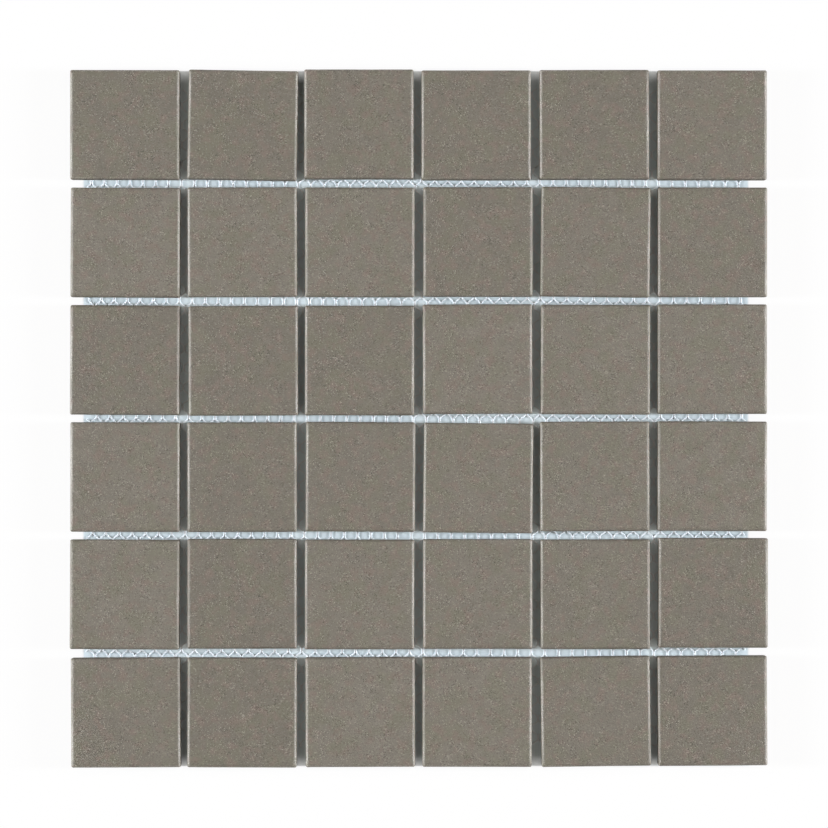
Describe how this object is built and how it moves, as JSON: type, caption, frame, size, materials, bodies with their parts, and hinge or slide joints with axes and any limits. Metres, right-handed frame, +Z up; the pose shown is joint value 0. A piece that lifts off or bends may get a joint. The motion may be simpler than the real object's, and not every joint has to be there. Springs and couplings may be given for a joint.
{
  "type": "clinker tile mosaic sheet",
  "caption": "Square sheet of small unglazed clinker tiles laid in an even grid with open joints on a knitted backing net.",
  "frame": {"origin": "middle of the sheet's box on the underside of the net, where the sheet lies on the floor", "axes": "+Z up out of the wear face; +X along the rows to the right and +Y up the columns, as the picture shows them"},
  "size_m": [0.3068, 0.3068, 0.0064],
  "materials": {
    "clinker": "unglazed fired body, matt, finely speckled grey brown",
    "net": "white knitted yarn net, matt"
  },
  "bodies": {
    "root": {"backing_net": "net", "tile_r1_c1": "clinker", "tile_r1_c2": "clinker", "tile_r1_c3": "clinker", "tile_r1_c4": "clinker", "tile_r1_c5": "clinker", "tile_r1_c6": "clinker", "tile_r2_c1": "clinker", "tile_r2_c2": "clinker", "tile_r2_c3": "clinker", "tile_r2_c4": "clinker", "tile_r2_c5": "clinker", "tile_r2_c6": "clinker", "tile_r3_c1": "clinker", "tile_r3_c2": "clinker", "tile_r3_c3": "clinker", "tile_r3_c4": "clinker", "tile_r3_c5": "clinker", "tile_r3_c6": "clinker", "tile_r4_c1": "clinker", "tile_r4_c2": "clinker", "tile_r4_c3": "clinker", "tile_r4_c4": "clinker", "tile_r4_c5": "clinker", "tile_r4_c6": "clinker", "tile_r5_c1": "clinker", "tile_r5_c2": "clinker", "tile_r5_c3": "clinker", "tile_r5_c4": "clinker", "tile_r5_c5": "clinker", "tile_r5_c6": "clinker", "tile_r6_c1": "clinker", "tile_r6_c2": "clinker", "tile_r6_c3": "clinker", "tile_r6_c4": "clinker", "tile_r6_c5": "clinker", "tile_r6_c6": "clinker"}
  },
  "joints": []
}
